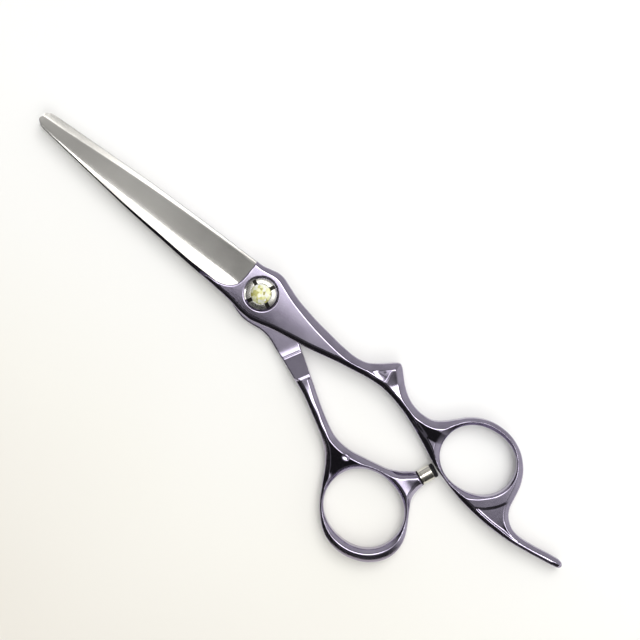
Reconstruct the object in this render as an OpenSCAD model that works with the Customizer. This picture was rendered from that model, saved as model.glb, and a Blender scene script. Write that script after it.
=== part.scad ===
// Hairdressing shears with offset handles, a slotted tension dial set with a
// faceted stone, a fixed finger rest and a screw-in bumper.
// Origin: pivot axis at the plane the shears lie on. +Z up, +X to the blade
// tips, +Y to the thumb ring.

/* [Levers] */
// Thickness of each lever at the pivot
lever_t = 2.9; // [2.7:0.1:3.1]
// Free gap between the two levers at the pivot
lever_gap = 0.1; // [0.06:0.02:0.16]
// Thickness of each blade at its tip
tip_t = 1.2; // [0.9:0.1:1.5]
// Height of the handles and rings above the resting plane
handle_h = 5; // [4.6:0.1:5.2]
// Width of the bevel ground along each cutting edge
bevel_w = 2.6; // [1.6:0.2:3]

/* [Pivot] */
// Diameter of the pivot bolt
bolt_d = 4; // [3.6:0.1:4.2]
// Diameter of the pivot bolt's flush head
bolt_head_d = 7; // [6.4:0.2:7.4]
// Radial running clearance of the bolt in the bushing and the dial
run_clear = 0.04; // [0.02:0.01:0.08]
// Outside diameter of the tension dial
dial_d = 7.9; // [7.4:0.1:8]
// Diameter of the pocket that the dial sits in
pocket_d = 8.5; // [8.4:0.1:8.8]
// Depth of the dial pocket
pocket_depth = 1.6; // [1.5:0.1:1.7]
// Width of the four coin slots in the dial
slot_w = 0.95; // [0.7:0.05:1.2]
// Diameter of the faceted stone
jewel_d = 5.2; // [4.8:0.1:5.4]

/* [Rings] */
// Length of the finger hole
finger_hole_l = 19.8; // [19:0.1:20.4]
// Width of the finger hole
finger_hole_w = 17; // [16:0.1:17.4]
// Length of the thumb hole
thumb_hole_l = 21.2; // [20:0.2:21.6]
// Width of the thumb hole
thumb_hole_w = 19; // [18:0.2:19.4]

/* [Bumper] */
// Diameter of the bumper's metal sleeve
bumper_d = 4; // [3.6:0.1:4.2]
// Length of the bumper's metal sleeve
sleeve_len = 3.4; // [2.9:0.1:3.5]
// Thickness of the soft pad on the bumper's end
pad_t = 1; // [0.7:0.1:1.1]

/* [Hidden] */
$fn = 48;
eps = 0.01;
zf = lever_t + lever_gap;          // underside of the finger lever
ztop = zf + lever_t;               // top face at the pivot
zfloor = ztop - pocket_depth;      // floor of the dial pocket
bolt_r = bolt_d / 2;
bump_z = 2.6;                      // height of the bumper axis
bump_p = [-60.7, 11.3];            // centre of the bumper seat
bump_u = [-0.37, -0.93];           // direction of the bumper

// Catmull-Rom spline through round control points
function cr(a, b, c, d, t) =
    0.5 * (2 * b + (c - a) * t + (2 * a - 5 * b + 4 * c - d) * t * t
           + (3 * b - a - 3 * c + d) * t * t * t);
function open_curve(p, n = 4) =
    let (m = len(p) - 1)
    concat([for (i = [0 : m - 1], j = [0 : n - 1])
        cr(p[max(i - 1, 0)], p[i], p[i + 1], p[min(i + 2, m)], j / n)],
        [p[m]]);

// Oval hole, a little fuller than an ellipse: centre c, length l, width w,
// turned by r degrees
function oval(c, l, w, r, n = 60) =
    [for (i = [0 : n - 1])
        let (t = 360 * i / n,
             u = l / 2 * sign(cos(t)) * pow(abs(cos(t)), 0.95),
             v = w / 2 * sign(sin(t)) * pow(abs(sin(t)), 0.95))
        [c[0] + u * cos(r) - v * sin(r), c[1] + u * sin(r) + v * cos(r)]];

// Cutting edge and back of a blade, as it lies on the +Y side of the axis
EDGE = [[71.8, 0.2], [66, -0.6], [60, -1.2], [50, -2.2], [40, -3.1],
        [30, -3.8], [20, -4.4], [10, -4.9], [2, -5.2]];
BACK = [[2, 6.5], [6, 6.2], [10, 6], [20, 5.7], [30, 5.2], [40, 4.7],
        [50, 3.9], [60, 3.1], [66, 2.6], [70, 2.2]];
TIP = [[70, 2.2], [71.2, 1.8], [71.9, 1.3], [72, 0.7], [71.8, 0.2]];

// Finger lever, side away from the thumb, heel of the blade to finger rest
F_BACK = [[6, -5.7], [4, -5.8], [2, -6.3], [0, -6.8], [-2, -6.7],
          [-4.5, -5.9], [-8, -4.8], [-12, -4], [-16, -3.4], [-20, -3],
          [-24, -2.6], [-28, -2.5], [-31, -3], [-33, -4], [-35, -5.6],
          [-36.5, -7], [-37.6, -8], [-38.5, -8.4], [-39.6, -7.8],
          [-41, -6.5], [-43, -4.7], [-45.5, -3.1], [-48, -2.2], [-51, -1.9],
          [-54, -2.4], [-56.5, -4.2], [-58.5, -6.4], [-60.5, -8.6],
          [-63, -10.4], [-66, -11.6], [-69.5, -12], [-73, -11.5],
          [-76.5, -9.9], [-79.5, -7.1], [-81.4, -3.8], [-82.3, -0.5],
          [-83, 2.5], [-84.5, 4.8], [-87, 6.4], [-90, 6.8], [-94, 6.3],
          [-98, 5.5], [-101, 5]];
// rounded end of the finger rest
F_END = [[-101, 5], [-102.2, 5.2], [-102.8, 5.9], [-102.4, 6.7], [-101, 7.1]];
// side towards the thumb, finger rest back to the blade
F_FRONT = [[-101, 7.1], [-97, 7.9], [-93, 8.6], [-89, 9.2], [-85, 9.5],
           [-81, 9.6], [-77, 9.4], [-73, 9], [-69, 8.3], [-65, 7.3],
           [-62, 6.4], [-59, 5.2], [-56, 3.9], [-52, 2.3], [-48, 0.9],
           [-44, -0.1], [-41, -0.6], [-38, -0.8], [-34, -0.4], [-30, 0.4],
           [-26, 1.2], [-22, 2.2], [-18, 3.2], [-14, 4], [-10, 4.8],
           [-7, 5.5], [-4, 6.4], [-2, 6.9], [0, 7], [2, 6.9], [5, 6.4],
           [9, 6.1], [16, 5.8]];
// curved line where the blade's grind ends
PLUNGE = [[16, 5.8], [13, 4.9], [10.5, 4.5], [8.5, 3.8], [7, 2.7],
          [6.2, 1.2], [5.9, -0.8], [5.9, -3], [5.9, -4.6], [6, -5.7]];

// Thumb lever, side towards the fingers, pivot to bumper seat
T_FRONT = [[6, -5.4], [3, -5.9], [0, -6.5], [-2.5, -6], [-5.5, -4.3],
           [-9, -1.5], [-12.5, 1.7], [-16, 4.4], [-19, 6.1], [-22, 7.9],
           [-25, 9.8], [-28, 11.7], [-31, 13.5], [-34, 15.1], [-37, 16.4],
           [-40, 16.9], [-43, 16.8], [-46, 16.2], [-50, 15.3],
           [-53, 14.5], [-55.5, 13.2], [-57.5, 11.7], [-58.8, 10.6]];
// far side, bumper seat round the ring and back to the blade
T_BACK = [[-62.6, 12.1], [-62.3, 14], [-62.4, 16.5], [-63.5, 18.7],
          [-65, 21.1], [-66.6, 23.8], [-67.6, 26.3], [-67.9, 29],
          [-67.4, 31.8], [-65.9, 34.4], [-63.5, 36.6], [-60, 38.2],
          [-56.5, 38.8], [-53, 38.4], [-50, 37.1], [-47, 34.6],
          [-44.5, 31.6], [-42.5, 28.2], [-40.5, 24.7], [-38, 21.4],
          [-35, 19], [-32, 17.2], [-28, 15.1], [-24, 13.1], [-20, 11.6],
          [-16, 10.2], [-12, 8.9], [-9, 7.8], [-7, 7.4], [-5, 7.4],
          [-2.5, 7.8], [0, 7.9], [2, 7.5], [4, 6.9], [6, 6]];

// A ground blade: outline, thickness taper and bevel, inner face at z = 0.
// width scales the outline across the blade.
module ground_blade(width = 1) {
    difference() {
        intersection() {
            linear_extrude(lever_t)
                polygon([for (p = concat(open_curve(EDGE, 3),
                                         open_curve(BACK, 3),
                                         open_curve(TIP, 3)))
                         [p[0], p[1] * width]]);
            translate([0, 10, 0]) rotate([90, 0, 0]) linear_extrude(20)
                polygon([[0, -1], [74, -1], [74, tip_t], [22, lever_t - 0.55],
                         [0, lever_t - 0.3]]);
        }
        // bevel plane along the cutting edge
        translate([71.6, -0.9, 0.12]) rotate([0, 0, 4.7])
            rotate([30, 0, 0]) translate([-80, -6, 0])
                cube([90, 6 + bevel_w / 2, 8]);
    }
}

module finger_lever() {
    color([0.42, 0.38, 0.5]) difference() {
        union() {
            translate([0, 0, zf]) ground_blade();
            intersection() {
                linear_extrude(8)
                    polygon(concat(open_curve(F_BACK), open_curve(F_END, 3),
                                   open_curve(F_FRONT),
                                   open_curve(PLUNGE, 3)));
                translate([0, 30, 0]) rotate([90, 0, 0]) linear_extrude(60)
                    polygon([[20, zf], [-19, zf], [-24, zf - 0.9],
                             [-30, 0.9], [-36, 0], [-110, 0],
                             [-110, handle_h - 1], [-98, handle_h - 0.8],
                             [-84, handle_h], [-44, handle_h + 0.2],
                             [-34, handle_h + 0.5], [-22, ztop],
                             [20, ztop]]);
            }
        }
        translate([0, 0, -1]) linear_extrude(9)
            polygon(oval([-69.2, -1.7], finger_hole_l, finger_hole_w, 8));
        // dial pocket with its chamfered rim
        translate([0, 0, zfloor]) cylinder(d = pocket_d, h = 5);
        translate([0, 0, ztop - 0.25])
            cylinder(d1 = pocket_d, d2 = pocket_d + 1, h = 0.5);
        // seat of the pivot bushing
        translate([0, 0, zf - 1]) cylinder(r = bolt_r + 0.8, h = 4);
    }
}

module thumb_lever() {
    color([0.4, 0.36, 0.48]) difference() {
        union() {
            translate([0, 0, lever_t]) mirror([0, 0, 1]) mirror([0, 1, 0])
                ground_blade(0.9);
            intersection() {
                linear_extrude(8)
                    polygon(concat(open_curve(T_FRONT), open_curve(T_BACK)));
                translate([0, 50, 0]) rotate([90, 0, 0]) linear_extrude(70)
                    polygon([[20, 0], [20, lever_t], [-16.4, lever_t],
                             [-21.6, handle_h - 0.2], [-30, handle_h],
                             [-80, handle_h], [-80, 0]]);
            }
            // round seat for the bumper
            bumper_axis() translate([0, 0, -3.5])
                cylinder(r = bumper_d / 2 + 0.05, h = 3.5);
        }
        translate([0, 0, -1]) linear_extrude(8)
            polygon(oval([-54.6, 26.2], thumb_hole_l, thumb_hole_w, -5));
        // bolt hole, flush head seat with two flats, thrust washer recess
        translate([0, 0, -1]) cylinder(r = bolt_r, h = 6);
        intersection() {
            translate([0, 0, -1]) cylinder(d = bolt_head_d, h = 1.9);
            cube([20, bolt_head_d - 1.4, 1.8], center = true);
        }
        translate([0, 0, lever_t - 0.4]) cylinder(r = bolt_r + 1.8, h = 1);
        // tapped hole for the bumper stud
        bumper_axis() translate([0, 0, -3]) cylinder(r = 0.9, h = 4);
    }
}

// Local frame of the bumper: +Z runs out of the seat towards the finger lever
module bumper_axis() {
    translate([bump_p[0], bump_p[1], bump_z])
        rotate([0, 90, atan2(bump_u[1], bump_u[0])]) children();
}

module pivot_bolt() {
    color([0.72, 0.72, 0.72]) union() {
        intersection() {
            cylinder(d = bolt_head_d, h = 0.9);
            translate([-10, -(bolt_head_d - 1.4) / 2, 0])
                cube([20, bolt_head_d - 1.4, 0.9]);
        }
        cylinder(r = bolt_r, h = ztop - 0.15);
    }
}

module thrust_washer() {
    color([0.9, 0.9, 0.86]) translate([0, 0, lever_t - 0.4]) difference() {
        cylinder(r = bolt_r + 1.8, h = 0.39 + lever_gap);
        translate([0, 0, -1]) cylinder(r = bolt_r, h = 3);
    }
}

module pivot_bushing() {
    color([0.8, 0.68, 0.42]) translate([0, 0, zf]) difference() {
        cylinder(r = bolt_r + 0.8, h = zfloor - zf);
        translate([0, 0, -1]) cylinder(r = bolt_r + run_clear, h = 5);
    }
}

module wave_spring() {
    color([0.6, 0.6, 0.62]) translate([0, 0, zfloor]) difference() {
        cylinder(r = pocket_d / 2 - 0.3, h = 0.2);
        translate([0, 0, -1]) cylinder(r = bolt_r + 0.5, h = 3);
    }
}

module click_plate() {
    color([0.66, 0.66, 0.66]) translate([0, 0, zfloor + 0.22]) difference() {
        cylinder(r = pocket_d / 2 - 0.4, h = 0.26);
        translate([0, 0, -1]) cylinder(r = bolt_r, h = 3);
        // notches that the dial clicks into
        for (a = [0 : 30 : 330]) rotate([0, 0, a])
            translate([3.45, 0, -1]) cylinder(r = 0.22, h = 3, $fn = 24);
    }
}

module tension_dial() {
    color([0.76, 0.76, 0.74]) translate([0, 0, zfloor + 0.5])
    difference() {
        union() {
            cylinder(d = dial_d, h = 1.1);
            translate([0, 0, 1.1])
                cylinder(d1 = dial_d, d2 = jewel_d + 0.3, h = 0.25);
        }
        translate([0, 0, -1]) cylinder(r = bolt_r + run_clear, h = 3);
        // seat of the stone
        translate([0, 0, 1]) cylinder(d = jewel_d, h = 2);
        // coin slots
        for (a = [67, 157, 247, 337]) rotate([0, 0, a])
            translate([jewel_d / 2 - 0.1, -slot_w / 2, 0.75])
                cube([4, slot_w, 2]);
    }
}

module jewel() {
    color([0.86, 0.88, 0.45]) translate([0, 0, zfloor + 1.5]) union() {
        cylinder(d = jewel_d, h = 0.5);
        translate([0, 0, 0.5])
            cylinder(d1 = jewel_d, d2 = jewel_d * 0.58, h = 0.7, $fn = 12);
    }
}

module bumper_stud() {
    color([0.7, 0.7, 0.7]) bumper_axis() translate([0, 0, -3])
        cylinder(r = 0.9, h = 3 + 0.3 + sleeve_len - 0.6);
}

module bumper_washer() {
    color([0.12, 0.12, 0.12]) bumper_axis() difference() {
        cylinder(r = bumper_d / 2, h = 0.3);
        translate([0, 0, -1]) cylinder(r = 0.9, h = 3);
    }
}

module bumper_sleeve() {
    color([0.8, 0.79, 0.74]) bumper_axis() translate([0, 0, 0.3])
    difference() {
        cylinder(r = bumper_d / 2, h = sleeve_len);
        translate([0, 0, -1]) cylinder(r = 0.9, h = sleeve_len + 0.4);
        translate([0, 0, sleeve_len - 0.6])
            cylinder(r = bumper_d / 2 - 0.5, h = 2);
    }
}

module bumper_pad() {
    color([0.08, 0.08, 0.08]) bumper_axis()
    translate([0, 0, 0.3 + sleeve_len]) union() {
        translate([0, 0, -0.6]) cylinder(r = bumper_d / 2 - 0.5, h = 0.6);
        cylinder(r = bumper_d / 2 - 0.1, h = pad_t * 0.5);
        translate([0, 0, pad_t * 0.5])
            cylinder(r1 = bumper_d / 2 - 0.1, r2 = bumper_d / 2 - 0.5,
                     h = pad_t * 0.5);
    }
}

finger_lever();
thumb_lever();
pivot_bolt();
thrust_washer();
pivot_bushing();
wave_spring();
click_plate();
tension_dial();
jewel();
bumper_stud();
bumper_washer();
bumper_sleeve();
bumper_pad();
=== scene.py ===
import bpy, bmesh, math
import numpy as np
from mathutils import Vector, Matrix


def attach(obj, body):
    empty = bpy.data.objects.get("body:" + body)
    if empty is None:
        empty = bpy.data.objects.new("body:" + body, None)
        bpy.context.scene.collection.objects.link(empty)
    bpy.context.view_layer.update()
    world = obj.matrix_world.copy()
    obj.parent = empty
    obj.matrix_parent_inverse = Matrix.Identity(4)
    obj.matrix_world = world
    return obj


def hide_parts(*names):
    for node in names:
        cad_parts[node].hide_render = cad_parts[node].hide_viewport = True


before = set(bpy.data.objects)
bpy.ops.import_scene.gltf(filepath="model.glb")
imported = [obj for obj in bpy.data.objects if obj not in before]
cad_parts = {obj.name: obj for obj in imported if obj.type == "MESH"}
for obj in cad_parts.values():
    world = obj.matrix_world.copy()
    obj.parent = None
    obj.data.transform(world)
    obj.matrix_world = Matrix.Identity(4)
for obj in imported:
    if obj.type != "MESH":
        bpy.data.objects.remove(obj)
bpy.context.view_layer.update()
MM = 0.001

# ---------------------------------------------------------------- dimensions (mm)
LEVER_T, GAP, TIP_T = 2.9, 0.1, 1.2
ZF = LEVER_T + GAP
ZTOP = ZF + LEVER_T
POCKET_D, POCKET_DEPTH = 8.5, 1.6
ZFLOOR = ZTOP - POCKET_DEPTH
DIAL_D, JEWEL_D, SLOT_W = 7.9, 5.2, 0.95
BUMPER_D, SLEEVE_L, PAD_T = 4.0, 3.4, 1.0
BUMP_P, BUMP_U, BUMP_Z = np.array([-60.7, 11.3]), np.array([-0.37, -0.93]), 2.6

EDGE = [[71.8, 0.2], [66, -0.6], [60, -1.2], [50, -2.2], [40, -3.1],
        [30, -3.8], [20, -4.4], [10, -4.9], [2, -5.2]]
BACK = [[2, 6.5], [6, 6.2], [10, 6], [20, 5.7], [30, 5.2], [40, 4.7],
        [50, 3.9], [60, 3.1], [66, 2.6], [70, 2.2]]
TIP = [[70, 2.2], [71.2, 1.8], [71.9, 1.3], [72, 0.7], [71.8, 0.2]]
F_BACK = [[6, -5.7], [4, -5.8], [2, -6.3], [0, -6.8], [-2, -6.7],
          [-4.5, -5.9], [-8, -4.8], [-12, -4], [-16, -3.4], [-20, -3],
          [-24, -2.6], [-28, -2.5], [-31, -3], [-33, -4], [-35, -5.6],
          [-36.5, -7], [-37.6, -8], [-38.5, -8.4], [-39.6, -7.8],
          [-41, -6.5], [-43, -4.7], [-45.5, -3.1], [-48, -2.2], [-51, -1.9],
          [-54, -2.4], [-56.5, -4.2], [-58.5, -6.4], [-60.5, -8.6],
          [-63, -10.4], [-66, -11.6], [-69.5, -12], [-73, -11.5],
          [-76.5, -9.9], [-79.5, -7.1], [-81.4, -3.8], [-82.3, -0.5],
          [-83, 2.5], [-84.5, 4.8], [-87, 6.4], [-90, 6.8], [-94, 6.3],
          [-98, 5.5], [-101, 5]]
F_END = [[-101, 5], [-102.2, 5.2], [-102.8, 5.9], [-102.4, 6.7], [-101, 7.1]]
F_FRONT = [[-101, 7.1], [-97, 7.9], [-93, 8.6], [-89, 9.2], [-85, 9.5],
           [-81, 9.6], [-77, 9.4], [-73, 9], [-69, 8.3], [-65, 7.3],
           [-62, 6.4], [-59, 5.2], [-56, 3.9], [-52, 2.3], [-48, 0.9],
           [-44, -0.1], [-41, -0.6], [-38, -0.8], [-34, -0.4], [-30, 0.4],
           [-26, 1.2], [-22, 2.2], [-18, 3.2], [-14, 4], [-10, 4.8],
           [-7, 5.5], [-4, 6.4], [-2, 6.9], [0, 7], [2, 6.9], [5, 6.4],
           [9, 6.1], [16, 5.8]]
PLUNGE = [[16, 5.8], [13, 4.9], [10.5, 4.5], [8.5, 3.8], [7, 2.7],
          [6.2, 1.2], [5.9, -0.8], [5.9, -3], [5.9, -4.6], [6, -5.7]]
T_FRONT = [[6, -5.4], [3, -5.9], [0, -6.5], [-2.5, -6], [-5.5, -4.3],
           [-9, -1.5], [-12.5, 1.7], [-16, 4.4], [-19, 6.1], [-22, 7.9],
           [-25, 9.8], [-28, 11.7], [-31, 13.5], [-34, 15.1], [-37, 16.4],
           [-40, 16.9], [-43, 16.8], [-46, 16.2], [-50, 15.3],
           [-53, 14.5], [-55.5, 13.2], [-57.5, 11.7], [-58.8, 10.6]]
T_BACK = [[-62.6, 12.1], [-62.3, 14], [-62.4, 16.5], [-63.5, 18.7],
          [-65, 21.1], [-66.6, 23.8], [-67.6, 26.3], [-67.9, 29],
          [-67.4, 31.8], [-65.9, 34.4], [-63.5, 36.6], [-60, 38.2],
          [-56.5, 38.8], [-53, 38.4], [-50, 37.1], [-47, 34.6],
          [-44.5, 31.6], [-42.5, 28.2], [-40.5, 24.7], [-38, 21.4],
          [-35, 19], [-32, 17.2], [-28, 15.1], [-24, 13.1], [-20, 11.6],
          [-16, 10.2], [-12, 8.9], [-9, 7.8], [-7, 7.4], [-5, 7.4],
          [-2.5, 7.8], [0, 7.9], [2, 7.5], [4, 6.9], [6, 6]]


# ---------------------------------------------------------------- curves
def cr(a, b, c, d, t):
    return 0.5 * (2 * b + (c - a) * t + (2 * a - 5 * b + 4 * c - d) * t * t
                  + (3 * b - a - 3 * c + d) * t ** 3)


def open_curve(p, n=16):
    p = np.array(p, float)
    m = len(p) - 1
    out = [cr(p[max(i - 1, 0)], p[i], p[i + 1], p[min(i + 2, m)], j / n)
           for i in range(m) for j in range(n)]
    return np.array(out + [p[m]])


def oval(c, l, w, r, n=240):
    t = 2 * np.pi * np.arange(n) / n
    u = l / 2 * np.sign(np.cos(t)) * np.abs(np.cos(t)) ** 0.95
    v = w / 2 * np.sign(np.sin(t)) * np.abs(np.sin(t)) ** 0.95
    r = math.radians(r)
    return np.c_[c[0] + u * math.cos(r) - v * math.sin(r), c[1] + u * math.sin(r) + v * math.cos(r)]


def resample(c, step=0.2, closed=False):
    if closed:
        c = np.vstack([c, c[:1]])
    s = np.r_[0, np.cumsum(np.hypot(*np.diff(c, axis=0).T))]
    n = max(2, int(round(s[-1] / step)) + 1)
    t = np.linspace(0, s[-1], n)
    return np.c_[np.interp(t, s, c[:, 0]), np.interp(t, s, c[:, 1])]


def sstep(a, b, x):
    t = np.clip((x - a) / (b - a), 0, 1)
    return t * t * (3 - 2 * t)


class Sides:
    """Distances from points of a plane region to each of its boundary curves,
    negative outside, looked up from a fine grid."""

    def __init__(self, curves, holes=(), h=0.1, pad=1.2):
        self.h = h
        outline = np.vstack([c[:-1] for c in curves])
        loops = [outline] + [c for c in holes]
        groups = [resample(c) for c in curves] + [resample(c, closed=True) for c in holes]
        self.n = len(groups)
        lo, hi = outline.min(0) - pad, outline.max(0) + pad
        self.lo = lo
        nx, ny = (np.ceil((hi - lo) / h).astype(int) + 1)
        X, Y = np.meshgrid(lo[0] + h * np.arange(nx), lo[1] + h * np.arange(ny), indexing="ij")
        P = np.c_[X.ravel(), Y.ravel()]
        inside = np.zeros(len(P), bool)
        for L in loops:
            a, b = L, np.roll(L, -1, 0)
            for (x0, y0), (x1, y1) in zip(a, b):
                if y0 == y1:
                    continue
                ya, yb = min(y0, y1), max(y0, y1)
                j0 = max(0, int(np.ceil((ya - lo[1]) / h - 1e-9)))
                j1 = min(ny - 1, int(np.ceil((yb - lo[1]) / h - 1e-9)) - 1)
                if j1 < j0:
                    continue
                yy = lo[1] + h * np.arange(j0, j1 + 1)
                xc = x0 + (yy - y0) * (x1 - x0) / (y1 - y0)
                ii = np.ceil((xc - lo[0]) / h).astype(int)
                g = inside.reshape(nx, ny)
                for j, i in zip(range(j0, j1 + 1), ii):
                    if i < nx:
                        g[max(i, 0):, j] ^= True
        # coarse pre-selection: only points near or in the region need distances
        allpts = np.vstack(groups)
        D = np.full((self.n, len(P)), 9.0, np.float32)
        near = inside.copy()
        g = near.reshape(nx, ny)
        ix = np.clip(((allpts - lo) / h).astype(int), 0, [nx - 1, ny - 1])
        k = int(pad / h) - 1
        m = np.zeros((nx, ny), bool)
        m[ix[:, 0], ix[:, 1]] = True
        for ax in (0, 1):
            acc = np.zeros_like(m)
            for s in range(-k, k + 1):
                r = np.roll(m, s, ax)
                acc |= r
            m = acc
        near |= m.ravel()
        idx = np.nonzero(near)[0]
        Q = P[idx].astype(np.float32)
        for gi, c in enumerate(groups):
            a = c.astype(np.float32)
            res = np.empty(len(Q), np.float32)
            for s in range(0, len(Q), 20000):
                q = Q[s:s + 20000]
                d2 = (q * q).sum(1)[:, None] + (a * a).sum(1)[None] - 2 * q @ a.T
                j = d2.argmin(1)
                best = np.full(len(q), 1e9, np.float64)
                qd = q.astype(float)
                for o in (-1, 0):
                    j0 = np.clip(j + o, 0, len(c) - 2)
                    p0, p1 = c[j0], c[j0 + 1]
                    e = p1 - p0
                    t = np.clip(((qd - p0) * e).sum(1) / (e * e).sum(1), 0, 1)
                    dd = qd - p0 - e * t[:, None]
                    best = np.minimum(best, (dd * dd).sum(1))
                res[s:s + 20000] = np.sqrt(best)
            D[gi, idx] = res
        nearest = D.argmin(0)
        out = ~inside
        for gi in range(self.n):
            s = out & (nearest == gi)
            D[gi, s] = -D[gi, s]
        far = out & ~near
        D[:, far] = -9.0
        self.D = D.reshape(self.n, nx, ny)
        self.shape = (nx, ny)

    def at(self, x, y):
        fx = np.clip((x - self.lo[0]) / self.h, 0, self.shape[0] - 1.001)
        fy = np.clip((y - self.lo[1]) / self.h, 0, self.shape[1] - 1.001)
        i, j = fx.astype(int), fy.astype(int)
        u, v = fx - i, fy - j
        D = self.D
        return [(D[g, i, j] * (1 - u) + D[g, i + 1, j] * u) * (1 - v)
                + (D[g, i, j + 1] * (1 - u) + D[g, i + 1, j + 1] * u) * v
                for g in range(self.n)]


def smax(a, b, k):
    h = np.clip(0.5 + 0.5 * (a - b) / k, 0, 1)
    return b + (a - b) * h + k * h * (1 - h)


def smin(a, b, k):
    return -smax(-a, -b, k)


# ---------------------------------------------------------------- meshes
def make_object(name, verts, faces, smooth=True):
    me = bpy.data.meshes.new(name)
    me.from_pydata([tuple(v) for v in verts], [], [tuple(f) for f in faces])
    me.validate()
    bm = bmesh.new()
    bm.from_mesh(me)
    bmesh.ops.dissolve_degenerate(bm, dist=1e-7, edges=bm.edges)
    if bm.calc_volume(signed=True) < 0:
        bmesh.ops.reverse_faces(bm, faces=bm.faces)
    bm.to_mesh(me)
    bm.free()
    me.update()
    if smooth:
        me.polygons.foreach_set("use_smooth", [True] * len(me.polygons))
    ob = bpy.data.objects.new(name, me)
    bpy.context.scene.collection.objects.link(ob)
    return ob


def apply_modifiers(ob):
    bpy.context.view_layer.update()
    dg = bpy.context.evaluated_depsgraph_get()
    me = bpy.data.meshes.new_from_object(ob.evaluated_get(dg))
    ob.modifiers.clear()
    old = ob.data
    ob.data = me
    bpy.data.meshes.remove(old)
    return ob


def lathe(name, profile, n=96, smooth=True):
    """A closed solid of revolution about Z. profile runs from the axis out and
    back, as (r, z) in mm."""
    ring = [p for p in profile if p[0] > 1e-6]
    verts, faces = [], []
    for r, z in ring:
        for k in range(n):
            t = 2 * math.pi * k / n
            verts.append((r * math.cos(t) * MM, r * math.sin(t) * MM, z * MM))
    for i in range(len(ring) - 1):
        for k in range(n):
            k1 = (k + 1) % n
            faces.append((i * n + k, i * n + k1, (i + 1) * n + k1, (i + 1) * n + k))
    if profile[0][0] > 1e-6:                       # a tube: join the last ring to the first
        m = len(ring) - 1
        for k in range(n):
            k1 = (k + 1) % n
            faces.append((m * n + k, m * n + k1, k1, k))
    else:
        faces.append(tuple(range(n - 1, -1, -1)))
        faces.append(tuple((len(ring) - 1) * n + k for k in range(n)))
    return make_object(name, verts, faces, smooth)


def cut(ob, tool):
    m = ob.modifiers.new("cut", "BOOLEAN")
    m.operation, m.object, m.solver = "DIFFERENCE", tool, "EXACT"
    apply_modifiers(ob)
    bpy.data.objects.remove(tool)


def soften(ob, width, segments=2, angle=35):
    """Rounded edges of a given width in mm, shaded smooth with sharp edges where faces meet at over 40 degrees."""
    m = ob.modifiers.new("edge", "BEVEL")
    m.width, m.segments, m.limit_method = width * MM, segments, "ANGLE"
    m.angle_limit = math.radians(angle)
    m.harden_normals = False
    apply_modifiers(ob)
    ob.data.polygons.foreach_set("use_smooth", [True] * len(ob.data.polygons))
    ob.data.set_sharp_from_angle(angle=math.radians(40))
    return ob


def box_tool(lo, hi, turn=0.0):
    bm = bmesh.new()
    bmesh.ops.create_cube(bm, size=1)
    c, d = (np.array(lo) + np.array(hi)) / 2, np.array(hi, float) - np.array(lo)
    for v in bm.verts:
        v.co = Vector((v.co.x * d[0] + c[0], v.co.y * d[1] + c[1], v.co.z * d[2] + c[2])) * MM
    bmesh.ops.rotate(bm, verts=bm.verts, cent=(0, 0, 0), matrix=Matrix.Rotation(math.radians(turn), 3, "Z"))
    me = bpy.data.meshes.new("tool")
    bm.to_mesh(me)
    bm.free()
    ob = bpy.data.objects.new("tool", me)
    bpy.context.scene.collection.objects.link(ob)
    return ob


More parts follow.
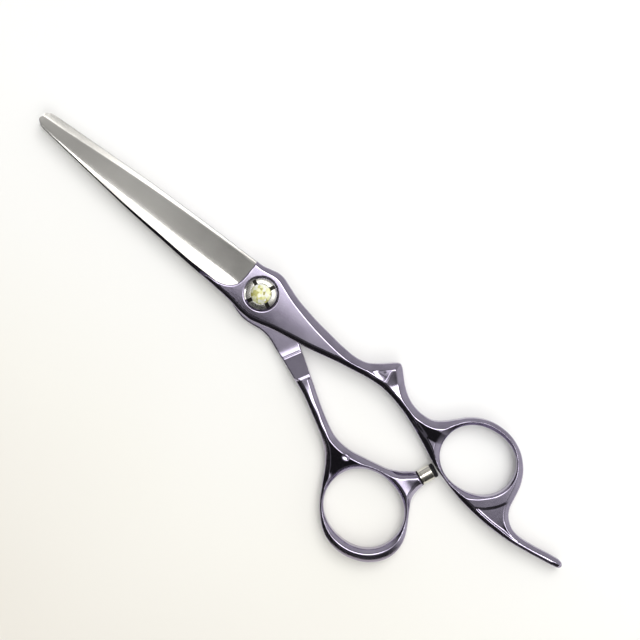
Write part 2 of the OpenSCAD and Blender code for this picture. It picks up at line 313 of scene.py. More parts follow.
def surface_nets(fn, lo, hi, h, iters=4):
    """A closed quad mesh of fn = 0, pulled onto the exact surface."""
    lo, hi = np.array(lo, float), np.array(hi, float)
    n = np.ceil((hi - lo) / h).astype(int) + 1
    ax = [lo[k] + h * np.arange(n[k]) for k in range(3)]
    F = np.empty(tuple(n), np.float32)
    step = max(1, int(2.0e6 // (n[1] * n[2])))
    for s in range(0, n[0], step):
        X, Y, Z = np.meshgrid(ax[0][s:s + step], ax[1], ax[2], indexing="ij")
        F[s:s + step] = fn(X, Y, Z)
    S = F < 0
    c = [slice(None, -1), slice(1, None)]
    cnt = sum(S[c[a], c[b], c[d]].astype(np.int8) for a in (0, 1) for b in (0, 1) for d in (0, 1))
    act = (cnt > 0) & (cnt < 8)
    ijk = np.argwhere(act)
    vid = -np.ones(act.shape, np.int64)
    vid[act] = np.arange(len(ijk))
    acc = np.zeros((len(ijk), 3))
    num = np.zeros(len(ijk))
    corners = [(a, b, d) for a in (0, 1) for b in (0, 1) for d in (0, 1)]
    for a in corners:
        for k in range(3):
            if a[k] == 0:
                b = list(a); b[k] = 1
                fa = F[ijk[:, 0] + a[0], ijk[:, 1] + a[1], ijk[:, 2] + a[2]]
                fb = F[ijk[:, 0] + b[0], ijk[:, 1] + b[1], ijk[:, 2] + b[2]]
                m = (fa < 0) != (fb < 0)
                t = np.where(m, fa / np.where(fa == fb, 1, fa - fb), 0)
                p = np.tile(np.array(a, float), (len(ijk), 1))
                p[:, k] += t
                acc[m] += p[m]
                num[m] += 1
    V = lo + h * (ijk + acc / num[:, None])
    faces = []
    for k in range(3):
        sl0 = [slice(None)] * 3; sl1 = [slice(None)] * 3
        sl0[k] = slice(None, -1); sl1[k] = slice(1, None)
        A, B = S[tuple(sl0)], S[tuple(sl1)]
        ch = np.argwhere(A != B)
        o = [i for i in range(3) if i != k]
        ch = ch[(ch[:, o[0]] > 0) & (ch[:, o[1]] > 0) & (ch[:, o[0]] < n[o[0]] - 1) & (ch[:, o[1]] < n[o[1]] - 1)]
        q = []
        for da, db in ((-1, -1), (0, -1), (0, 0), (-1, 0)):
            cc = ch.copy()
            cc[:, o[0]] += da; cc[:, o[1]] += db
            q.append(vid[cc[:, 0], cc[:, 1], cc[:, 2]])
        q = np.stack(q, 1)
        flip = A[ch[:, 0], ch[:, 1], ch[:, 2]]
        if k == 1:
            flip = ~flip
        q[~flip] = q[~flip][:, ::-1]
        faces.append(q)
    Fc = np.vstack(faces)
    e = 0.02
    for it in range(iters):
        f0 = fn(V[:, 0], V[:, 1], V[:, 2])
        G = np.empty_like(V)
        for k in range(3):
            d = np.zeros(3); d[k] = e
            G[:, k] = (fn(*(V + d).T) - fn(*(V - d).T)) / (2 * e)
        g2 = (G * G).sum(1) + 1e-9
        st = (f0 / g2)[:, None] * G
        L = np.linalg.norm(st, axis=1)
        cap = 0.35 * h
        st *= np.minimum(1, cap / (L + 1e-12))[:, None]
        V = V - st
        if it < iters - 1:
            # even the points out along the surface
            N = G / np.sqrt(g2)[:, None]
            S1 = np.zeros_like(V); C1 = np.zeros(len(V))
            for a in range(4):
                b = (a + 1) % 4
                np.add.at(S1, Fc[:, a], V[Fc[:, b]])
                np.add.at(C1, Fc[:, a], 1)
                np.add.at(S1, Fc[:, b], V[Fc[:, a]])
                np.add.at(C1, Fc[:, b], 1)
            dlt = S1 / C1[:, None] - V
            dlt -= (dlt * N).sum(1)[:, None] * N
            V = V + 0.5 * dlt
    return V, Fc


# ---------------------------------------------------------------- lever forms
VOX = 0.2


fs = Sides([open_curve(F_BACK), open_curve(F_END), open_curve(F_FRONT), open_curve(PLUNGE)],
           [oval([-69.2, -1.7], 19.8, 17, 8)])
ts = Sides([open_curve(T_FRONT), np.array([T_FRONT[-1], T_BACK[0]], float), open_curve(T_BACK),
            np.array([T_BACK[-1], T_FRONT[0]], float)], [oval([-54.6, 26.2], 21.2, 19, -5)])


def wall_bevel(d, z, zlo, zhi, b, ht, hb, k=0.1, p=1.6):
    """Solid between zlo and zhi with a vertical wall at d = 0 and bevels b wide,
    ht deep above and hb deep below. p = 1 is a flat bevel, more is an arc."""
    t = np.clip(1 - d / b, 0, None)
    top = z - (zhi - ht * t ** p)
    bot = (zlo + hb * t ** p) - z
    s = 1 / np.sqrt(1 + (ht * p / b) ** 2 * 0.5)
    return smax(smax(-d, top * s, k), bot * 0.85, k)


def table(x, xs, ys):
    return np.interp(x, xs, ys)


def finger_field(x, y, z):
    db, de, df, dp, dh = fs.at(x, y)
    zhi = ZTOP - 0.4 * sstep(-20, -36, x) - 0.45 * sstep(-36, -80, x) - 0.9 * sstep(-82, -100, x)
    zhi = zhi - 0.004 * (y - 0.5) ** 2 * sstep(-24, -14, x)
    zlo = ZF - 2.95 * sstep(-18.5, -37, x) + 0.5 * sstep(-84, -100, x)
    hand = sstep(-19, -34, x)
    # hook: a crest between two shallow dishes
    zhi = zhi - 0.52 * np.exp(-((x + 34.6) / 2.3) ** 2 - ((y + 3.2) / 1.8) ** 2)
    zhi = zhi - 0.50 * np.exp(-((x + 41.4) / 1.9) ** 2 - ((y + 3.9) / 2.9) ** 2)
    zhi = zhi + 0.10 * np.exp(-((x + 38.3 + 0.12 * (y + 4)) / 0.7) ** 2) * sstep(-0.8, -2.4, y)
    # the neck's top leans to the back and ripples a little
    neck = sstep(-40.5, -43, x) * sstep(-56.5, -51.5, x)
    zhi = zhi - (0.08 + 0.05 * np.sin(1.25 * x + 0.6)) * np.clip(df - 1.1, 0, 2.0) * neck
    # beyond its ridge the joint with the ring leans to the front
    joint = sstep(-48.5, -51.5, x) * sstep(-63.5, -60, x)
    zhi = zhi - 0.17 * np.clip(smax(y - 0.19 * (x + 50) - 0.1, 0 * y, 0.15), 0, 2.8) * joint
    groove = (y - 0.45 + 0.25 * (x + 49.5)) / 1.03
    zhi = zhi - 0.17 * np.exp(-(groove / 0.36) ** 2) * sstep(-48.5, -50.5, x) * sstep(-56, -53.5, x)
    # ledge around the ring where the finger rest joins it
    zhi = zhi - 0.24 * sstep(2.85, 3.2, dh) * sstep(-73, -77, x) * sstep(0.9, 1.7, np.minimum(db, df))
    bb = table(x, [-104, -90, -84, -62, -58, -50, -44, -38, -30, -20, -10, 0, 4, 7],
               [1.15, 1.2, 1.7, 1.6, 2.0, 1.7, 1.8, 1.8, 1.9, 2.0, 1.6, 1.35, 1.0, 0.8])
    bh = bb * table(x, [-104, -20, 7], [0.66, 0.66, 0.72])
    f1 = wall_bevel(np.minimum(db, de), z, zlo, zhi, bb, bh, 0.15 + 1.35 * hand, 0.05, 1.25)
    fb = table(x, [-104, -90, -84, -64, -56, -50, -46, -34, -20, 0, 20],
               [0.6, 0.65, 1.2, 1.4, 1.6, 1.4, 1.35, 1.4, 1.3, 1.1, 1.0])
    hb = table(x, [-77, -73, -62, -58], [0.55, 1.35, 1.5, 2.0])
    k = 0.06 + 0.05 * hand
    f2 = wall_bevel(df, z, zlo, zhi, fb, 0.74 * fb, 0.15 + 1.35 * hand, 0.05, 1.12)
    f3 = wall_bevel(dp, z, zlo, zhi, 0.3, 0.18, 0.05, 0.05)
    f4 = wall_bevel(dh, z, zlo, zhi, hb, np.minimum(0.9 * hb, 1.2), 1.5, 0.08, 1.35)
    f = smax(f1, f2, k)
    f = smax(f, f4, k)
    f = smax(f, f3, 0.04)
    # dial pocket with a chamfered rim, and the bushing's bore
    r = np.sqrt(x * x + y * y)
    pocket = np.maximum(r - POCKET_D / 2, ZFLOOR - z)
    rim = np.maximum((r - POCKET_D / 2 - (z - ZTOP + 0.3)) * 0.707, ZTOP - 0.6 - z)
    f = smax(f, -pocket, 0.03)
    f = smax(f, -rim, 0.03)
    return smax(f, -(r - 2.8), 0.03)


def thumb_field(x, y, z):
    df, de, db, dp, dh = ts.at(x, y)
    s1 = (x + 16.1) * -0.886 + (y - 7.3) * 0.464
    s2 = (x + 21.35) * -0.69 + (y - 9.9) * 0.725
    ramp = LEVER_T + 0.34 * s1
    lift = 0.19 * np.clip((s1 + 3.0) / 3.0, 0, 1) ** 2
    zhi = smin(smax(ramp, LEVER_T - 0.19 + np.minimum(lift, 0.19), 0.05), 4.95 + 0 * x, 0.16)
    zhi = zhi - 0.07 * np.exp(-((s1 + 0.45) / 0.11) ** 2)
    # the web by the ring leans away from the fingers
    web = sstep(10.0, 4.0, np.hypot(x + 41, y - 19.5))
    zhi = zhi - 0.135 * smax(df - 1.6, 0 * df, 0.2) * web
    zhi = zhi - 0.30 * np.exp(-((x + 42.6) / 0.9) ** 2 - ((y - 18.6) / 0.7) ** 2)
    # the shank's top leans to the front
    zhi = zhi - (0.12 + 0.04 * np.sin(1.1 * x)) * np.clip(db - 0.9, 0, 1.6) * sstep(-22.5, -25, x) * sstep(-37, -33, x)
    ax, ay, az = x - BUMP_P[0], y - BUMP_P[1], z - BUMP_Z
    along = ax * BUMP_U[0] + ay * BUMP_U[1]
    across = -ax * BUMP_U[1] + ay * BUMP_U[0]
    boss = sstep(-6.4, -2.6, along) * sstep(-51, -56, x) * sstep(22, 19, y)
    zhi = zhi - 0.22 * boss
    zlo = 0.02 + 0.45 * boss
    hand = sstep(-0.1, 0.9, s2)
    hl = sstep(-8, -24, x)
    b1 = table(x, [-68, -50, -37, -33, -26, 8], [1.6, 1.6, 1.7, 1.15, 1.1, 1.2])
    b2 = table(x, [-68, -38, -33, -24, 8], [1.5, 1.4, 1.15, 1.2, 1.2])
    b1, b2, b4 = b1 + (2.1 - b1) * boss, b2 + (2.1 - b2) * boss, 1.35 + 0.5 * boss
    hb = 0.6 + 0.9 * hl + 0.5 * boss
    f1 = wall_bevel(df, z, zlo, zhi, 0.2 + (b1 - 0.2) * hand, 0.1 + (0.70 * b1 - 0.1 + 0.4 * boss) * hand, hb, 0.08, 1.25 + 0.85 * boss)
    f2 = wall_bevel(db, z, zlo, zhi, 0.2 + (b2 - 0.2) * hand, 0.1 + (0.78 * b2 - 0.1 + 0.25 * boss) * hand, hb, 0.05, 1.12 + 0.98 * boss)
    f3 = wall_bevel(dp, z, zlo, zhi, 0.3, 0.05, 0.2, 0.05)
    f4 = wall_bevel(dh, z, zlo, zhi, b4, 1.25, 1.5, 0.08, 1.35)
    fe = wall_bevel(de, z, zlo, zhi, 0.3, 0.25, 0.3)
    k = 0.06 + 0.05 * hand * sstep(-22, -30, x)
    f = smax(f1, f2, k)
    f = smax(f, fe, 0.06)
    f = smax(f, f4, k)
    f = smax(f, f3, 0.04)
    # round seat of the bumper
    r = np.sqrt(across ** 2 + az ** 2)
    cyl = smax(smax(r - (2.03 + 0.06 * np.minimum(along, 0)), along, 0.08), -(along + 4.4), 0.5)
    f = smin(f, cyl, 0.2)
    f = smax(f, -dh, 0.25)
    f = smax(f, along, 0.05)
    f = smax(f, -np.maximum(np.sqrt(across ** 2 + az ** 2) - 0.9, -3.0 - along), 0.02)
    # bolt hole, washer recess, seat of the flush head
    r = np.sqrt(x * x + y * y)
    f = smax(f, -(r - 2.0), 0.02)
    f = smax(f, -np.maximum(r - 3.8, LEVER_T - 0.4 - z), 0.02)
    head = np.maximum(np.maximum(r - 3.5, np.abs(y) - 2.8), z - 0.9)
    return smax(f, -head, 0.02)


def field_object(name, fn, lo, hi, vox=None):
    V, Fc = surface_nets(fn, lo, hi, vox or VOX)
    return make_object(name, V * MM, Fc)


finger_handle = field_object("finger_handle", finger_field, (-103.1, -13.2, -0.6), (17.2, 10.4, 6.6))
thumb_handle = field_object("thumb_handle", thumb_field, (-68.4, -8, -0.6), (7.2, 39, 5.8))


def chain(points, x):
    c = open_curve(points)
    o = np.argsort(c[:, 0], kind="stable")
    return np.interp(x, c[o, 0], c[o, 1])


def loft(rings, name, close_ends=True):
    n = len(rings[0])
    V = np.vstack(rings)
    F = []
    for i in range(len(rings) - 1):
        for j in range(n):
            a, b = i * n + j, i * n + (j + 1) % n
            F.append((a, b, b + n, a + n))
    F.append(tuple(range(n - 1, -1, -1)))
    F.append(tuple((len(rings) - 1) * n + j for j in range(n)))
    return make_object(name, V * MM, F)


def blade_sections(mirror):
    """Sections of a ground blade from heel to tip, and the index range of the
    coated strip in each section."""
    A = [[71.9, 0.6], [71.83, 0.2], [71.6, -0.1]] + EDGE[1:]
    B = BACK + [[70.9, 1.75], [71.6, 1.3], [71.84, 0.95], [71.9, 0.62]]
    xs = np.r_[np.linspace(2.2, 66, 120), 66 + 5.9 * np.sin(np.linspace(0, np.pi / 2, 34)[1:])]
    rings = []
    for x in xs:
        ya, yb = chain(A, x), chain(B, x)
        W = max(yb - ya, 0.02)
        u = np.clip((x - 6) / 66, 0, 1)
        T = 2.45 - 1.25 * u ** 0.9
        T = T + 0.16 * np.clip((16 - x) / 10, 0, 1.2) ** 2
        T = T * (0.55 + 0.45 * np.clip((71.95 - x) / 1.2, 0, 1) ** 0.5)
        q = min(1, W / 3)
        coat = q * table(x, [6, 10, 20, 30, 40, 50, 60, 72], [1.5, 1.4, 0.95, 0.8, 0.6, 0.32, 0.25, 0.18])
        band = q * table(x, [6, 10, 20, 30, 40, 46, 52, 72], [2.8, 2.7, 2.05, 1.4, 0.9, 0.5, 0.2, 0.1])
        e = min(0.25, 0.1 * W)
        prof = [(0, 0.0), (0, 0.04), (e * 0.5, 0.14), (e, 0.22)]
        wf = W - coat - band - e
        for k in range(1, 23):
            t = k / 22
            prof.append((e + wf * t, 0.22 + (T - 0.22) * (t + 0.10 * (t - t ** 7))))
        prof.append((e + wf + band * 0.03, T + 0.004))
        for k in range(1, 6):
            prof.append((e + wf + band * (0.03 + 0.97 * k / 5), T + 0.004))
        i0 = len(prof) - 1
        drop = min(coat * 0.74, T * 0.7)
        prof.append((W - coat * 0.97, T + 0.004 - drop * 0.02))
        for k in range(1, 5):
            t = k / 4
            prof.append((W - coat * (1 - t), T + 0.004 - drop * (0.92 * t + 0.08 * t * t)))
        prof.append((W, 0.12))
        prof.append((W - 0.14 * q, 0.0))
        i1 = len(prof) - 2
        for k in range(1, 12):
            t = 1 - k / 12
            prof.append((W * t, 0.05 * min(1, W / 4) * math.sin(math.pi * t)))
        w = 0.9 if mirror else 1.0
        rings.append([(x, (ya + p[0]) * w, ZF + max(p[1], 0)) for p in prof])
    rings = np.array(rings)
    if mirror:
        rings[..., 1] *= -1
        rings[..., 2] = ZF - rings[..., 2] + LEVER_T
    return rings, (i0, i1)


def blade(name, mirror):
    rings, (i0, i1) = blade_sections(mirror)
    ob = loft(rings, name)
    n = rings.shape[1]
    # faces are told apart by where they lie in the section: strip, or ground steel
    me = ob.data
    co = np.array([v.co for v in me.vertices]) / MM
    flat = rings.reshape(-1, 3)
    key = {tuple(np.round(p, 4)): i % n for i, p in enumerate(flat)}
    idx = np.array([key.get(tuple(np.round(c, 4)), -1) for c in co])
    for p in me.polygons:
        k = [idx[v] for v in p.vertices]
        p.material_index = 1 if min(k) >= i0 and max(k) <= i1 else 0
    me.set_sharp_from_angle(angle=math.radians(12))
    return ob


finger_blade = blade("finger_blade", False)
thumb_blade = blade("thumb_blade", True)

# ---------------------------------------------------------------- dial and stone
dial = lathe("tension_dial_detail", [
    (2.04, 4.82), (3.86, 4.82), (3.95, 4.9), (3.95, 5.84), (3.9, 5.9), (3.3, 6.03), (2.76, 6.13),
    (2.66, 6.13), (2.6, 6.08), (2.6, 5.8), (2.04, 5.8)], 160)
for a_ in (67, 157, 247, 337):
    cut(dial, box_tool((JEWEL_D / 2 - 0.15, -SLOT_W / 2, 5.3), (5, SLOT_W / 2, 7), a_))
soften(dial, 0.04)


def stone_rings():
    """Brilliant cut: girdle, crown kites and table, 8-fold."""
    V, F = [], []

    def ring(r, z, n, off=0.0):
        i = len(V)
        for k in range(n):
            t = 2 * math.pi * (k + off) / n
            V.append((r * math.cos(t) * MM, r * math.sin(t) * MM, z * MM))
        return list(range(i, i + n))

    R = JEWEL_D / 2 - 0.03
    bot = ring(R * 0.2, 5.81, 8)
    pav = ring(R * 0.62, 5.9, 8, 0.5)
    g0 = ring(R, 6.14, 16)
    g1 = ring(R, 6.24, 16)
    mid = ring(R * 0.80, 6.66, 8, 0.5)
    top = ring(R * 0.56, 6.95, 8)
    F.append(tuple(reversed(bot)))
    F.append(tuple(top))
    for k in range(8):
        k1 = (k + 1) % 8
        F += [(bot[k], bot[k1], pav[k]), (pav[k], bot[k1], pav[k1])]
        a, b, c = 2 * k, 2 * k + 1, (2 * k + 2) % 16
        F += [(pav[k - 1], pav[k], g0[a]), (pav[k], g0[b], g0[a]), (pav[k], g0[c], g0[b])]
        F += [(g1[a], g1[b], mid[k]), (g1[b], g1[c], mid[k]), (mid[k - 1], g1[a], mid[k])]
        F += [(mid[k - 1], mid[k], top[k]), (mid[k], top[k1], top[k])]
    for k in range(16):
        k1 = (k + 1) % 16
        F.append((g0[k], g0[k1], g1[k1], g1[k]))
    return V, F


stone = make_object("jewel_detail", *stone_rings(), smooth=False)
bmn = bmesh.new()
bmn.from_mesh(stone.data)
bmesh.ops.recalc_face_normals(bmn, faces=bmn.faces)
bmn.to_mesh(stone.data)
bmn.free()

# ---------------------------------------------------------------- bumper
rb = BUMPER_D / 2
sleeve = lathe("bumper_sleeve_detail", [
    (0.92, 0.3), (rb - 0.14, 0.3), (rb - 0.03, 0.4), (rb - 0.03, 0.62), (rb - 0.12, 0.68), (rb - 0.12, 0.78),
    (rb - 0.02, 0.86), (rb, 0.92), (rb, 0.98), (rb, 1.6), (rb, 2.8), (rb, 0.3 + SLEEVE_L - 0.18),
    (rb, 0.3 + SLEEVE_L - 0.12), (rb - 0.06, 0.3 + SLEEVE_L - 0.04),
    (rb - 0.2, 0.3 + SLEEVE_L), (rb - 0.44, 0.3 + SLEEVE_L), (rb - 0.5, 0.3 + SLEEVE_L - 0.06),
    (rb - 0.5, 0.3 + SLEEVE_L - 0.6), (0.92, 0.3 + SLEEVE_L - 0.6)], 96)
pz = 0.3 + SLEEVE_L
pad = lathe("bumper_pad_detail", [
    (0, pz - 0.58), (rb - 0.52, pz - 0.58), (rb - 0.52, pz), (rb - 0.2, pz + 0.03), (rb - 0.12, pz + 0.14),
    (rb - 0.12, pz + 0.5), (rb - 0.2, pz + 0.74), (rb - 0.42, pz + 0.92), (rb - 0.75, pz + 0.99), (0, pz + 0.99)], 96)
oring = lathe("bumper_washer_detail", [
    (0.92, 0.01), (rb - 0.12, 0.01), (rb - 0.02, 0.08), (rb, 0.15), (rb - 0.02, 0.22), (rb - 0.12, 0.29),
    (0.92, 0.29)], 96)
turn = Matrix.Translation(Vector((*BUMP_P, BUMP_Z)) * MM) @ \
    Matrix.Rotation(math.atan2(BUMP_U[1], BUMP_U[0]), 4, "Z") @ Matrix.Rotation(math.pi / 2, 4, "Y")
for ob in (sleeve, pad, oring):
    ob.data.transform(turn)
    ob.data.set_sharp_from_angle(angle=math.radians(28))

for ob, node, body in ((dial, "tension_dial", "dial"), (stone, "jewel", "dial"),
                       (sleeve, "bumper_sleeve", "thumb"), (pad, "bumper_pad", "thumb"),
                       (oring, "bumper_washer", "thumb")):
    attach(ob, body)
    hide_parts(node)

for ob in (finger_handle, finger_blade):
    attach(ob, "finger")
    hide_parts("finger_lever")
for ob in (thumb_handle, thumb_blade):
    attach(ob, "thumb")
    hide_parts("thumb_lever")


# ---------------------------------------------------------------- materials
def material(name, base, rough, metal=0.0, **kw):
    m = bpy.data.materials.new(name)
    m.use_nodes = True
    nt = m.node_tree
    b = nt.nodes["Principled BSDF"]
    b.inputs["Base Color"].default_value = (*base, 1)
    b.inputs["Roughness"].default_value = rough
    b.inputs["Metallic"].default_value = metal
    for k, v in kw.items():
        b.inputs[k.replace("_", " ")].default_value = v
    return m, nt, b


def coords(nt, scale=(1, 1, 1), turn=0.0):
    tc = nt.nodes.new("ShaderNodeTexCoord")
    mp = nt.nodes.new("ShaderNodeMapping")
    mp.inputs["Scale"].default_value = scale
    mp.inputs["Rotation"].default_value = (0, 0, turn)
    nt.links.new(tc.outputs["Object"], mp.inputs["Vector"])
    return mp.outputs["Vector"]


def noise(nt, vec, scale, detail=3.0, rough=0.55):
    n = nt.nodes.new("ShaderNodeTexNoise")
    n.inputs["Scale"].default_value = scale
    n.inputs["Detail"].default_value = detail
    n.inputs["Roughness"].default_value = rough
    nt.links.new(vec, n.inputs["Vector"])
    return n.outputs["Fac"]


def ramp(nt, fac, stops):
    r = nt.nodes.new("ShaderNodeValToRGB")
    el = r.color_ramp.elements
    while len(el) < len(stops):
        el.new(0.5)
    for e, (p, c) in zip(el, stops):
        e.position = p
        e.color = (*c, 1) if len(c) == 3 else c
    nt.links.new(fac, r.inputs["Fac"])
    return r.outputs["Color"]


def span(nt, fac, lo, hi, fl=0.3, fh=0.7):
    r = nt.nodes.new("ShaderNodeMapRange")
    for k, v in (("From Min", fl), ("From Max", fh), ("To Min", lo), ("To Max", hi)):
        r.inputs[k].default_value = v
    nt.links.new(fac, r.inputs["Value"])
    return r.outputs["Result"]


def bump(nt, b, height, strength, dist):
    n = nt.nodes.new("ShaderNodeBump")
    n.inputs["Strength"].default_value = strength
    n.inputs["Distance"].default_value = dist
    nt.links.new(height, n.inputs["Height"])
    nt.links.new(n.outputs["Normal"], b.inputs["Normal"])


def metal(name, tints, rough, grain, grain_depth, turn=0.0, cloud=90.0):
    """Metal with cloudy tint, uneven polish and fine grinding grain. grain is
    the frequency along X, Y and Z in lines per metre."""
    m, nt, b = material(name, tints[len(tints) // 2], rough[0], 1.0)
    v = coords(nt)
    c = noise(nt, v, cloud, 5.0, 0.6)
    nt.links.new(ramp(nt, c, [(0.3 + 0.4 * i / (len(tints) - 1), t) for i, t in enumerate(tints)]),
                 b.inputs["Base Color"])
    g = noise(nt, coords(nt, grain, turn), 1.0, 4.0, 0.65)
    nt.links.new(span(nt, g, rough[0], rough[1]), b.inputs["Roughness"])
    bump(nt, b, g, 1.0, grain_depth)
    return m


coat = metal("coated_steel", [(0.345, 0.312, 0.41), (0.395, 0.360, 0.463), (0.435, 0.400, 0.505)],
             (0.065, 0.15), (2600, 2600, 2600), 0.0000012, cloud=160)
steel = metal("blade_steel", [(0.72, 0.705, 0.67), (0.77, 0.755, 0.72)], (0.12, 0.24),
              (700, 9000, 9000), 0.0000016)
dial_m = metal("dial_steel", [(0.50, 0.49, 0.45), (0.63, 0.62, 0.58)], (0.2, 0.34), (5200, 5200, 5200), 0.000002)
sleeve_m = metal("sleeve_steel", [(0.72, 0.70, 0.62), (0.82, 0.80, 0.74)], (0.14, 0.26),
                 (3000, 12000, 3000), 0.0000015)
bare = metal("bare_steel", [(0.60, 0.60, 0.60), (0.70, 0.70, 0.69)], (0.22, 0.36), (9000, 2500, 4000), 0.000002)
# near-black material for the dial's slots: painted shade in the slots
slot_shade = metal("slot_painted_shade", [(0.02, 0.018, 0.016), (0.05, 0.046, 0.04)], (0.4, 0.6), (5200, 5200, 5200), 0.000004)
brass = metal("bushing_brass", [(0.66, 0.50, 0.24), (0.78, 0.62, 0.34)], (0.2, 0.35), (3000, 3000, 9000), 0.000002)

plastic, nt, b = material("bearing_plastic", (0.82, 0.81, 0.76), 0.42)
v = coords(nt)
nt.links.new(ramp(nt, noise(nt, v, 900.0), [(0.3, (0.78, 0.77, 0.71)), (0.7, (0.87, 0.86, 0.82))]),
             b.inputs["Base Color"])
bump(nt, b, noise(nt, v, 6000.0), 0.5, 0.00001)

rubber, nt, b = material("bumper_rubber", (0.012, 0.011, 0.012), 0.6, Specular_IOR_Level=0.2)
v = coords(nt)
nt.links.new(ramp(nt, noise(nt, v, 1500.0), [(0.3, (0.006, 0.006, 0.007)), (0.7, (0.016, 0.015, 0.016))]),
             b.inputs["Base Color"])
nt.links.new(span(nt, noise(nt, v, 2500.0), 0.45, 0.7), b.inputs["Roughness"])
bump(nt, b, noise(nt, v, 7000.0), 0.6, 0.00002)

# stone colour: its own pale yellow, with random near-white and dark olive cells that are painted glints of its facets
gem, nt, b = material("stone", (0.9, 0.93, 0.5), 0.06, 0.3, Coat_Weight=1.0, Coat_Roughness=0.03)
vo = nt.nodes.new("ShaderNodeTexVoronoi")
vo.inputs["Scale"].default_value = 1350.0
nt.links.new(coords(nt), vo.inputs["Vector"])
sep = nt.nodes.new("ShaderNodeSeparateColor")
nt.links.new(vo.outputs["Color"], sep.inputs["Color"])
nt.links.new(ramp(nt, sep.outputs["Red"], [(0.0, (0.45, 0.42, 0.12)), (0.18, (0.84, 0.84, 0.34)),
                                            (0.36, (0.97, 0.98, 0.62)), (0.8, (1.0, 1.0, 0.94))]),
             b.inputs["Base Color"])
bump(nt, b, sep.outputs["Green"], 0.5, 0.00012)

for o in (finger_handle, thumb_handle):
    o.data.materials.append(coat)
for o in (finger_blade, thumb_blade):
    o.data.materials.append(steel)
    o.data.materials.append(coat)
dial.data.materials.clear()
dial.data.materials.append(dial_m)
dial.data.materials.append(slot_shade)
# the slot faces take the near-black material: painted shade in the slots
for p in dial.data.polygons:
    c = p.center / MM
    p.material_index = 0
    for a_ in (67, 157, 247, 337):
        t = math.radians(a_)
        u, q = c.x * math.cos(t) + c.y * math.sin(t), -c.x * math.sin(t) + c.y * math.cos(t)
        if u > 2.3 and abs(q) < SLOT_W / 2 + 0.015 and c.z < 6.08 and u < 3.97 and c.z > 5.2 and p.normal.z > -0.2 \
                and not (abs(q) < SLOT_W / 2 - 0.03 and u > 3.93):
            p.material_index = 1
for o, m, k in ((stone, gem, "stone"), (sleeve, sleeve_m, "sleeve_steel"),
                (pad, rubber, "bumper_rubber"), (oring, rubber, "bumper_rubber")):
    o.data.materials.clear()
    o.data.materials.append(m)
for node, m in (("pivot_bolt", bare), ("thrust_washer", plastic), ("pivot_bushing", brass), ("wave_spring", bare),
                ("click_plate", bare), ("bumper_stud", bare)):
    for s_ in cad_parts[node].material_slots:
        s_.material = m

# ---------------------------------------------------------------- stage and light
me = bpy.data.meshes.new("floor")
bm = bmesh.new()
bmesh.ops.create_grid(bm, x_segments=1, y_segments=1, size=3)
bm.to_mesh(me)
bm.free()
floor = bpy.data.objects.new("floor", me)
bpy.context.scene.collection.objects.link(floor)
floor.location.z = -0.00002
fm, fnt, fb = material("floor_paper", (0.9, 0.9, 0.89), 0.95)
fv = coords(fnt)
fsep = fnt.nodes.new("ShaderNodeSeparateXYZ")
fnt.links.new(fv, fsep.inputs[0])
fmix = fnt.nodes.new("ShaderNodeMath")
fmix.operation = "MULTIPLY_ADD"
fnt.links.new(noise(fnt, fv, 7.0, 2.0), fmix.inputs[0])
fmix.inputs[1].default_value = 0.06
fnt.links.new(fsep.outputs[1], fmix.inputs[2])
# floor colour grows darker and warmer towards +Y, with a little noise: painted shade of the light falling off across
# the floor
fnt.links.new(ramp(fnt, span(fnt, fmix.outputs[0], 0.0, 1.0, 0.02, 0.14),
                   [(0.0, (0.90, 0.90, 0.89)), (0.5, (0.855, 0.84, 0.785)), (1.0, (0.78, 0.75, 0.685))]),
              fb.inputs["Base Color"])
bump(fnt, fb, noise(fnt, fv, 900.0), 0.15, 0.0001)
fb.inputs["Specular IOR Level"].default_value = 0.0
me.materials.append(fm)

sc = bpy.context.scene
w = bpy.data.worlds.new("studio")
sc.world = w
w.use_nodes = True
wt = w.node_tree
bg = wt.nodes["Background"]


def mth(op, a, b=None, clamp=False):
    n = wt.nodes.new("ShaderNodeMath")
    n.operation = op
    n.use_clamp = clamp
    for i, v in enumerate((a, b)):
        if v is None:
            continue
        if isinstance(v, (int, float)):
            n.inputs[i].default_value = v
        else:
            wt.links.new(v, n.inputs[i])
    return n.outputs[0]


def step_(v, a, b, lo=0.0, hi=1.0):
    n = wt.nodes.new("ShaderNodeMapRange")
    n.interpolation_type = "SMOOTHSTEP"
    for k, q in (("From Min", a), ("From Max", b), ("To Min", lo), ("To Max", hi)):
        n.inputs[k].default_value = q
    wt.links.new(v, n.inputs["Value"])
    return n.outputs["Result"]


tc = wt.nodes.new("ShaderNodeTexCoord")
sx = wt.nodes.new("ShaderNodeSeparateXYZ")
wt.links.new(tc.outputs["Generated"], sx.inputs[0])
X, Y, Z = sx.outputs
# softbox overhead, brighter to -Y
ex = mth("POWER", mth("ABSOLUTE", mth("DIVIDE", X, 0.40)), 2.0)
ey = mth("POWER", mth("ABSOLUTE", mth("DIVIDE", mth("ADD", Y, 0.10), 0.225)), 2.0)
cap = step_(mth("ADD", ex, ey), 1.25, 0.8)
flat = mth("MULTIPLY", step_(X, -0.24, -0.03, 0.34, 0.52), step_(X, 0.27, 0.16, 0.40, 1.0))
box = mth("MULTIPLY", cap, mth("ADD", mth("ADD", flat, step_(Y, 0.10, -0.16, 0.0, 2.9)), step_(Y, -0.02, -0.18, 0.0, 2.4)))
# a bright panel to +X
panel = mth("MULTIPLY", mth("MULTIPLY", step_(X, 0.080, 0.105), step_(X, 0.235, 0.17)),
            mth("MULTIPLY", step_(Y, -0.22, -0.14), step_(Y, 0.24, 0.16)))
box = mth("ADD", box, mth("MULTIPLY", panel, 2.2))
cap = mth("MAXIMUM", cap, panel)
# a weak one to +X and +Y
side = mth("MULTIPLY", mth("MULTIPLY", step_(X, 0.18, 0.26), step_(X, 0.55, 0.42)),
           mth("MULTIPLY", step_(Y, 0.10, 0.18), step_(Y, 0.46, 0.36)))
box = mth("ADD", box, mth("MULTIPLY", side, 0.75))
cap = mth("MAXIMUM", cap, side)
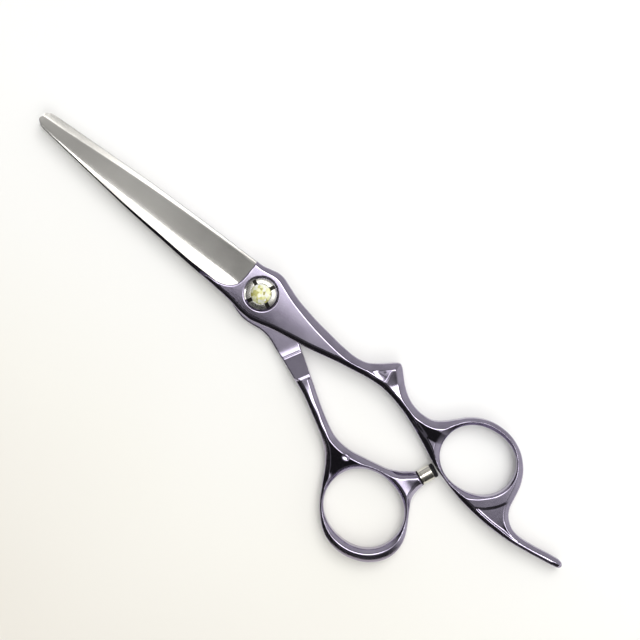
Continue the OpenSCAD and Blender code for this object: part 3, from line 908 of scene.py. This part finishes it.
# room: grey to -Y and -X, nearly black to +Y
gap = mth("MULTIPLY", mth("MULTIPLY", step_(X, 0.20, 0.08), step_(X, -0.04, 0.02)),
          mth("MULTIPLY", step_(Y, -0.68, -0.60), step_(Y, -0.26, -0.34)))
room = mth("MULTIPLY", step_(Y, 0.28, -0.25, 0.015, 0.40), step_(Z, 0.15, 0.85, 1.5, 1.0))
room = mth("MULTIPLY", room, mth("SUBTRACT", 1.0, mth("MULTIPLY", gap, 0.70)))
left = mth("MULTIPLY", step_(X, -0.2, -0.75, 0.0, 0.16), step_(Y, 0.45, 0.0, 0.1, 1.0))
room = mth("ADD", room, left)
room = mth("ADD", room, mth("MULTIPLY", step_(Y, 0.42, 0.54), step_(Z, 0.40, 0.58, 0.0, 0.13)))
tot = mth("ADD", box, mth("MULTIPLY", room, mth("SUBTRACT", 1.0, cap)))
tot = mth("MULTIPLY", tot, step_(Z, -0.05, 0.05, 0.0, 1.0))
bg.inputs["Color"].default_value = (1.0, 0.995, 0.985, 1)
wt.links.new(tot, bg.inputs["Strength"])


def lamp(name, loc, size, power, target=(-0.015, 0.008, 0)):
    d = bpy.data.lights.new(name, "AREA")
    d.shape = "DISK"
    d.size = size
    d.energy = power
    o = bpy.data.objects.new(name, d)
    o.location = loc
    o.rotation_euler = (Vector(target) - Vector(loc)).to_track_quat("-Z", "Y").to_euler()
    o.visible_glossy = False
    o.visible_transmission = False
    sc.collection.objects.link(o)
    return o


lamp("key", (0.10, -0.70, 0.95), 0.8, 6.2)
lamp("fill", (-0.6, 0.4, 0.9), 1.0, 3.9)

cam = bpy.data.cameras.new("camera")
camo = bpy.data.objects.new("camera", cam)
sc.collection.objects.link(camo)
sc.camera = camo
# the photo's frame: 162 mm across at 320 mm, the part turned 39 degrees, and
# the dial's centre at (261, 294) of 640 by 640
D = 0.320
REACH = 0.318
TILT = math.radians(3)
TURN = math.radians(39)
back = Vector((0, -math.sin(TILT), math.cos(TILT)))
up0 = Vector((math.sin(TURN), -math.cos(TURN), 0))
right = up0.cross(back).normalized()
up = back.cross(right).normalized()
rot = Matrix((right, up, back)).transposed()
step = REACH / D * 0.1620 / 640
eye = Vector((0, 0, 0.0062)) + back * REACH - right * (261 - 320) * step + up * (294 - 320) * step
camo.matrix_world = Matrix.Translation(eye) @ rot.to_4x4()
cam.sensor_width = 36
cam.lens = 36 * D / 0.1620
cam.clip_start, cam.clip_end = 0.01, 10
sc.view_settings.view_transform = "Standard"
sc.view_settings.look = "None"
